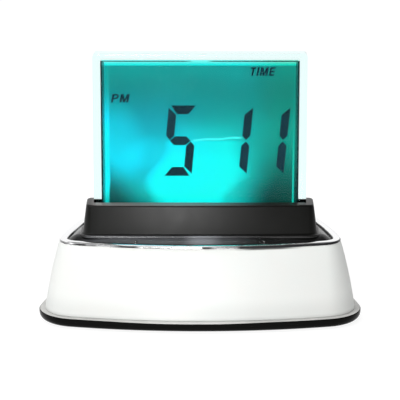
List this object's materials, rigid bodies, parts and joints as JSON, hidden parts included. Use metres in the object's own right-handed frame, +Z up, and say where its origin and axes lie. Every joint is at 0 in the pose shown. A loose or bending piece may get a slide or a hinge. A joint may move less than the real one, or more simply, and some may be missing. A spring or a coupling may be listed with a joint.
{
  "type": "digital desk clock",
  "caption": "Free-standing digital desk clock: a clear back-lit display stands in a holder on a tapered oval base with rear buttons, a light bar and a battery door.",
  "frame": {"origin": "middle of the box that the clock fills, on the table under its rubber feet", "axes": "+X to the right of someone who faces the display, +Y to the back, +Z up"},
  "size_m": [0.132, 0.075, 0.1098],
  "materials": {
    "black_plastic": "satin black moulded plastic",
    "white_plastic": "pearl white painted plastic",
    "chrome_trim": "bright chrome plating",
    "gloss_deck": "high gloss black plastic",
    "satin_block": "satin black plastic",
    "clear_plastic": "clear acrylic",
    "lcd_glass": "liquid-crystal display glass",
    "lcd_film": "polarising film",
    "lcd_dark": "dark liquid-crystal segments",
    "guide_glow": "lit teal light guide",
    "white_sheet": "white reflector film",
    "board_green": "solder mask over fibreglass",
    "steel": "plated steel",
    "spring_wire": "nickel-plated spring wire",
    "brass_disc": "bare brass with a silvered ceramic",
    "cell_sleeve": "plain blue cell sleeve",
    "rubber": "soft rubber",
    "dark_part": "moulded black component",
    "ivory_plastic": "ivory plastic",
    "red_wire": "red wire insulation",
    "ribbon": "polyimide ribbon",
    "grey_ribbon": "grey flat cable",
    "button_plastic": "matt black button plastic"
  },
  "bodies": {
    "root": {"base_plate": "black_plastic", "rubber_feet": "rubber", "battery_cells": "cell_sleeve", "battery_springs": "spring_wire", "battery_plates": "steel", "battery_leads": "red_wire", "buzzer": "brass_disc", "case_screws": "steel", "main_board": "board_green", "board_screws": "steel", "chip_blob": "dark_part", "crystal": "steel", "capacitor": "dark_part", "ribbon_socket": "ivory_plastic", "light_switch": "dark_part", "housing": "white_plastic", "rear_panel": "black_plastic", "key_board": "board_green", "key_screws": "steel", "key_switches": "dark_part", "alarm_switch": "steel", "key_ribbon": "grey_ribbon", "chrome_ring": "chrome_trim", "deck": "gloss_deck", "deck_screws": "steel", "display_holder": "satin_block", "holder_screws": "steel", "case_front": "clear_plastic", "case_rear": "clear_plastic", "front_film": "lcd_film", "front_glass": "lcd_glass", "lcd_segments": "lcd_dark", "rear_glass": "lcd_glass", "rear_film": "lcd_film", "light_guide": "guide_glow", "reflector": "white_sheet", "led_board": "board_green", "leds": "guide_glow", "led_leads": "red_wire", "lcd_ribbon": "ribbon"},
    "battery_door": {"battery_door": "black_plastic"},
    "light_button": {"light_button": "gloss_deck"},
    "mode_button": {"mode_button": "button_plastic"},
    "set_button": {"set_button": "button_plastic"},
    "up_button": {"up_button": "button_plastic"},
    "down_button": {"down_button": "button_plastic"},
    "alarm_knob": {"alarm_knob": "button_plastic"}
  },
  "joints": [
    {"name": "battery_door_swing", "type": "hinge", "parent": "root", "child": "battery_door", "pos_m": [0, -0.0207, 0.0007], "axis": [-1, 0, 0], "range_deg": [0, 75]},
    {"name": "light_button_press", "type": "slide", "parent": "root", "child": "light_button", "axis": [0, 0, -1], "range_m": [0, 0.0008], "stiffness_N_per_m": 900, "springref_m": -0.0006},
    {"name": "mode_button_press", "type": "slide", "parent": "root", "child": "mode_button", "axis": [0, -0.9773, -0.2119], "range_m": [0, 0.0008], "stiffness_N_per_m": 900, "springref_m": -0.0006},
    {"name": "set_button_press", "type": "slide", "parent": "root", "child": "set_button", "axis": [0, -0.9773, -0.2119], "range_m": [0, 0.0008], "stiffness_N_per_m": 900, "springref_m": -0.0006},
    {"name": "up_button_press", "type": "slide", "parent": "root", "child": "up_button", "axis": [0, -0.9773, -0.2119], "range_m": [0, 0.0008], "stiffness_N_per_m": 900, "springref_m": -0.0006},
    {"name": "down_button_press", "type": "slide", "parent": "root", "child": "down_button", "axis": [0, -0.9773, -0.2119], "range_m": [0, 0.0008], "stiffness_N_per_m": 900, "springref_m": -0.0006},
    {"name": "alarm_knob_slide", "type": "slide", "parent": "root", "child": "alarm_knob", "axis": [-1, 0, 0], "range_m": [0, 0.003]}
  ]
}
